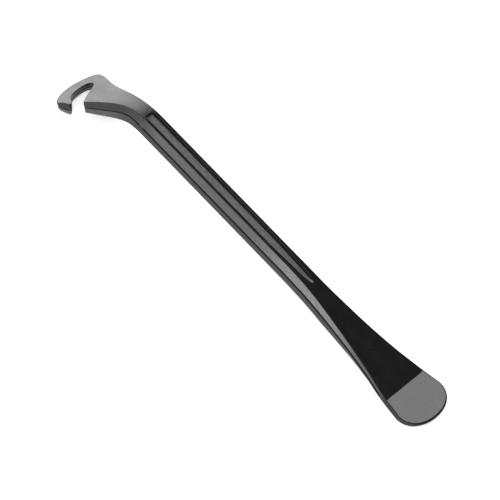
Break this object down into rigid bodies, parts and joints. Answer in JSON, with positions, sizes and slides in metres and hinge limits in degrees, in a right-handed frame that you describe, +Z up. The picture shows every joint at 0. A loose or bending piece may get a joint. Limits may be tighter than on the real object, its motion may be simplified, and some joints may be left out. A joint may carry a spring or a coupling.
{
  "type": "tyre lever",
  "caption": "Slim bicycle tyre lever: a bent flat head with an open spoke slot, a grooved shaft and a broad thin spoon with a raised landing.",
  "frame": {"origin": "centre of the footprint, on the surface that the lever lies on", "axes": "+X from the hook head to the spoon, +Y across, +Z up with the groove on top"},
  "size_m": [0.1978, 0.0318, 0.0166],
  "materials": {
    "shell": "black glass-filled nylon: smooth satin on the head, spoon and landing, fine spark-eroded grain on the shaft's sides and in the groove",
    "blade": "plain hardened spring steel, hidden inside",
    "peg": "unfilled grey nylon, hidden inside"
  },
  "bodies": {
    "root": {"upper_shell": "shell", "lower_shell": "shell", "steel_blade": "blade", "locating_peg_1": "peg", "locating_peg_2": "peg", "locating_peg_3": "peg", "locating_peg_4": "peg"}
  },
  "joints": []
}
